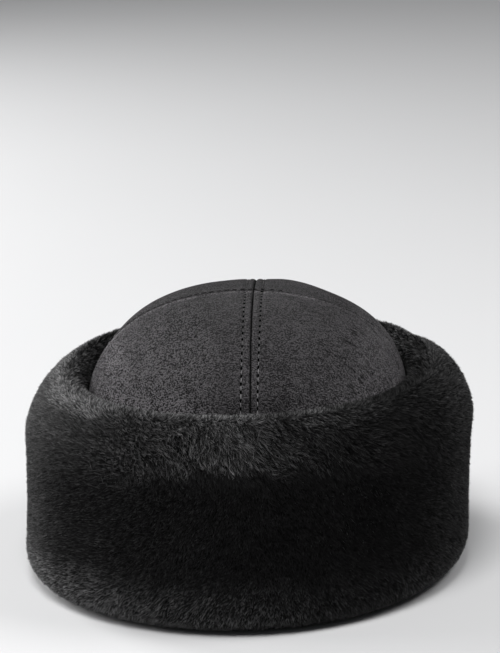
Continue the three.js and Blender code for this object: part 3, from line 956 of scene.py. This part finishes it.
# Hairs are strewn evenly over the outer form, gathered, laid along the flow and given their tones.
def growFur(finish):
    dice = np.random.default_rng(fur["seed"])
    places, normals = outerForm()
    columns, rows = places.shape[0] - 1, places.shape[1] - 1
    sideA, sideB = places[1:, :-1] - places[:-1, :-1], places[:-1, 1:] - places[:-1, :-1]
    area = np.linalg.norm(np.cross(sideA, sideB), axis=-1).ravel()
    edges = np.cumsum(area) / area.sum()
    count = fur["hairs"]
    patch = np.searchsorted(edges, dice.random(count))
    column, row = patch // rows + dice.random(count), patch % rows + dice.random(count)

    place, normal = lookUp(places, column, row), unit(lookUp(normals, column, row))
    azimuth, share = column * 360 / columns, row / rows
    height = place[:, 2] / mm
    above, below = np.minimum(row + 0.5, rows), np.maximum(row - 0.5, 0)
    upward = unit(lookUp(places, column, above) - lookUp(places, column, below))
    around = unit(np.cross(upward, normal))
    turn, twist, lift, shade = np.zeros((4, count))
    pull = np.zeros((count, 2))
    for gather in gathers:
        cell, toMiddle = nearestCell(dice, azimuth, share, gather["size"])
        chance = dice.normal(0, 1, (4, cell.max() + 1))[:, cell]
        turn += chance[0] * gather["turn"]
        twist += chance[1] * gather["twist"]
        lift += chance[2] * gather["lift"]
        shade += np.clip(chance[3], -2, 2) * gather["shade"] / 2
        pull += toMiddle * gather["pull"]
    strand, choice = dice.random((2, cell.max() + 1))[:, cell]
    direction, lean = flowAt(dice, azimuth, height, share, choice)
    direction = direction + np.radians(turn + dice.normal(0, fur["flowJitter"], count))
    lean = lean + np.radians(dice.normal(0, fur["leanJitter"], count))
    lean = np.clip(lean, *np.radians(fur["leanLimits"]))

    flow = around * np.cos(direction)[:, None] + upward * np.sin(direction)[:, None]
    fromEnd = np.clip(fur["endDepth"] + np.minimum(share, 1 - share) * fur["endRate"], 0, 1)
    depth = dice.uniform(*fur["depth"], count) * mm * fromEnd
    reach = depth * np.tan(lean)
    tip = place + normal * (dice.uniform(*fur["tipJitter"], count) + lift)[:, None] * mm
    root = tip - normal * depth[:, None] - flow * reach[:, None]
    tip = tip + around * pull[:, :1] * mm + upward * pull[:, 1:] * mm
    along = unit(tip - root)
    blade = unit(np.cross(along, normal))
    facing = np.cross(blade, along)
    twist = np.radians(twist + dice.normal(0, fur["twistJitter"], count))[:, None]
    width = dice.uniform(*fur["width"], count)[:, None] * mm / 2
    sideways = blade * np.cos(twist) + facing * np.sin(twist)
    corners = np.stack([root - sideways * width, root + sideways * width, tip], axis=1)
    corners[..., 2] = np.maximum(corners[..., 2], fur["floorGap"] * mm)
    # the blades are lit by normals between their own and the coat's, so that the coat looks soft
    bladeNormal = np.cross(sideways, along)
    bladeNormal *= np.sign((bladeNormal * normal).sum(axis=1, keepdims=True))
    ruffle = dice.normal(0, fur["ruffle"], (count, 3))
    rootLit = unit(normal + bladeNormal * fur["facing"] + ruffle)
    lit = np.stack([rootLit, rootLit, unit(rootLit + along * fur["tipTurn"])], axis=1)
    # a few strands are far paler than the rest, and every wisp has a tone of its own
    # painted light and shade by place scale each strand's tone
    paintedFurLight, contrast = paintFurLight(dice, azimuth, height, share, strand * 2 - 1)
    usual = fur["darkest"] + fur["spread"] / (1 + fur["rarity"])
    tone = fur["darkest"] + fur["spread"] * strand ** fur["rarity"]
    tone = (usual + (tone - usual) * contrast) * (1 + shade)
    tone = np.clip(tone * dice.uniform(*fur["toneJitter"], count) * paintedFurLight / fur["fullTone"], 0, 1)

    span = 360 / len(furSectors)
    sector = ((azimuth + span / 2) // span).astype(int) % len(furSectors)
    for index, name in enumerate(furSectors):
        chosen = sector == index
        hairPiece(name, corners[chosen], lit[chosen], tone[chosen], finish)


# One sector of the fur: each hair is a single pointed blade, wide at the root.
def hairPiece(name, corners, lit, tone, finish):
    count = len(corners)
    across = np.cross(corners[:, 1] - corners[:, 0], corners[:, 2] - corners[:, 0])
    turned = (across * lit[:, 0]).sum(axis=1) < 0
    corners[turned] = corners[turned][:, [1, 0, 2]]
    data = bpy.data.meshes.new(name)
    data.vertices.add(count * 3)
    data.vertices.foreach_set("co", corners.astype(np.float32).ravel())
    data.loops.add(count * 3)
    data.loops.foreach_set("vertex_index", np.arange(count * 3, dtype=np.int32))
    data.polygons.add(count)
    data.polygons.foreach_set("loop_start", np.arange(0, count * 3, 3, dtype=np.int32))
    data.update(calc_edges=True)
    layer = data.uv_layers.new(name="hairMap")
    ends = np.tile([0.0, 0.0, 1.0], count)
    layer.uv.foreach_set("vector", np.stack([np.repeat(tone, 3), ends], 1).astype(np.float32).ravel())
    item = addItem(name, data)
    data.materials.append(finish)
    smoothFaces(item)
    data.normals_split_custom_set_from_vertices(lit.reshape(-1, 3))
    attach(item, "root")


# Black fur: darkest at the root, a little paler and glossier towards the tip.
furLook = {
    "along": ((0.1, (0.025, 0.025, 0.025)), (0.9, (0.25, 0.247, 0.25))),
    "roughness": (0.7, 0.5), "roughnessTones": (0, 0.5), "gloss": 0.06, "sheen": 0.1, "sheenRoughness": 0.35,
}


def furFinish():
    finish, tree, shader = newFinish("blackFur")
    hair = addNode(tree, "ShaderNodeUVMap", {"uv_map": "hairMap"}).outputs["UV"]
    parts = addNode(tree, "ShaderNodeSeparateXYZ", Vector=hair)
    tone = parts.outputs["X"]
    along = rampNode(tree, parts.outputs["Y"], furLook["along"])
    tree.links.new(mixTones(tree, 1.0, along, tone, "MULTIPLY"), shader.inputs["Base Color"])
    roughness = mapRange(tree, tone, *furLook["roughness"], *furLook["roughnessTones"])
    tree.links.new(roughness, shader.inputs["Roughness"])
    setGloss(shader, furLook)
    return finish


growFur(furFinish())
print("stage: fur")
